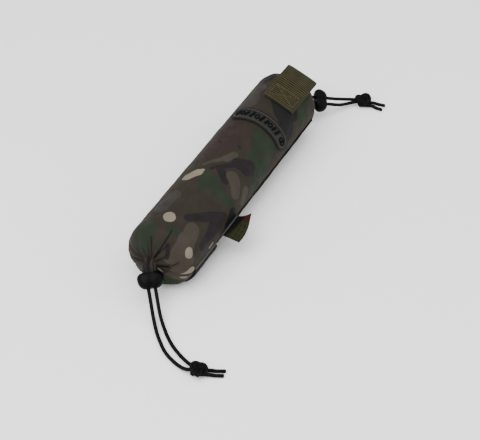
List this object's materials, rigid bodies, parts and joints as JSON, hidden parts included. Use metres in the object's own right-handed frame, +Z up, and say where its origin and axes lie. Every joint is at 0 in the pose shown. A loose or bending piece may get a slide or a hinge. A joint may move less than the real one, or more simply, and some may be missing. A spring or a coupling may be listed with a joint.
{
  "type": "training bumper",
  "caption": "Soft foam cylinder in a camouflage sleeve, gathered at both ends by drawcords with toggles and knots, with a webbing pull tab, a badge and a side label.",
  "frame": {"origin": "centre of the flat underside that the body rests on", "axes": "+X along the body towards the end with the webbing tab, +Z up; the badge and the webbing tab lean towards -Y"},
  "size_m": [0.4817, 0.1564, 0.0827],
  "materials": {
    "foam": "matte",
    "sleeve_cloth": "matte",
    "elastic_cord": "matte",
    "toggle_plastic": "satin",
    "olive_webbing": "matte",
    "olive_thread": "matte",
    "badge_rubber": "matte",
    "badge_edge": "satin",
    "badge_relief": "matte",
    "black_thread": "matte",
    "black_tape": "matte",
    "woven_label": "matte",
    "dark_webbing": "matte"
  },
  "bodies": {
    "bumper": {"foam_core": "foam", "sleeve": "sleeve_cloth", "near_hem": "sleeve_cloth", "far_hem": "sleeve_cloth", "near_cord_ring": "elastic_cord", "far_cord_ring": "elastic_cord", "near_strand_a": "elastic_cord", "near_strand_b": "elastic_cord", "far_strand_a": "elastic_cord", "far_strand_b": "elastic_cord", "near_knot": "elastic_cord", "far_knot": "elastic_cord", "near_tail_a": "elastic_cord", "near_tail_b": "elastic_cord", "far_tail_a": "elastic_cord", "far_tail_b": "elastic_cord", "pull_tab_base": "olive_webbing", "tab_box_stitch": "olive_thread", "badge_plate": "badge_rubber", "badge_border": "badge_edge", "badge_relief": "badge_relief", "badge_stitch": "black_thread", "seam_binding": "black_tape", "label_hem": "black_tape", "side_tab_hem": "black_tape"},
    "near_toggle": {"near_toggle": "toggle_plastic"},
    "far_toggle": {"far_toggle": "toggle_plastic"},
    "tab_loop": {"pull_tab_loop": "olive_webbing"},
    "label": {"side_label": "woven_label"},
    "side_tab": {"side_tab": "dark_webbing"}
  },
  "joints": [
    {"name": "near_toggle_slide", "type": "slide", "parent": "bumper", "child": "near_toggle", "axis": [-0.6281, -0.5234, -0.5758], "range_m": [0, 0.02]},
    {"name": "far_toggle_slide", "type": "slide", "parent": "bumper", "child": "far_toggle", "axis": [0.6738, -0.6738, -0.3032], "range_m": [0, 0.01]},
    {"name": "pull_tab_flex", "type": "hinge", "parent": "bumper", "child": "tab_loop", "pos_m": [0.122, -0.01498, 0.07369], "axis": [0, -0.9272, -0.3746], "range_deg": [0, 100], "stiffness_Nm_per_rad": 0.003},
    {"name": "label_flex", "type": "hinge", "parent": "bumper", "child": "label", "pos_m": [-0.058, -0.03929, 0.02967], "axis": [-1, 0, 0], "range_deg": [-60, 60], "stiffness_Nm_per_rad": 0.01},
    {"name": "side_tab_flex", "type": "hinge", "parent": "bumper", "child": "side_tab", "pos_m": [-0.1165, -0.03813, 0.02709], "axis": [-1, 0, 0], "range_deg": [0, 75], "stiffness_Nm_per_rad": 0.05}
  ]
}
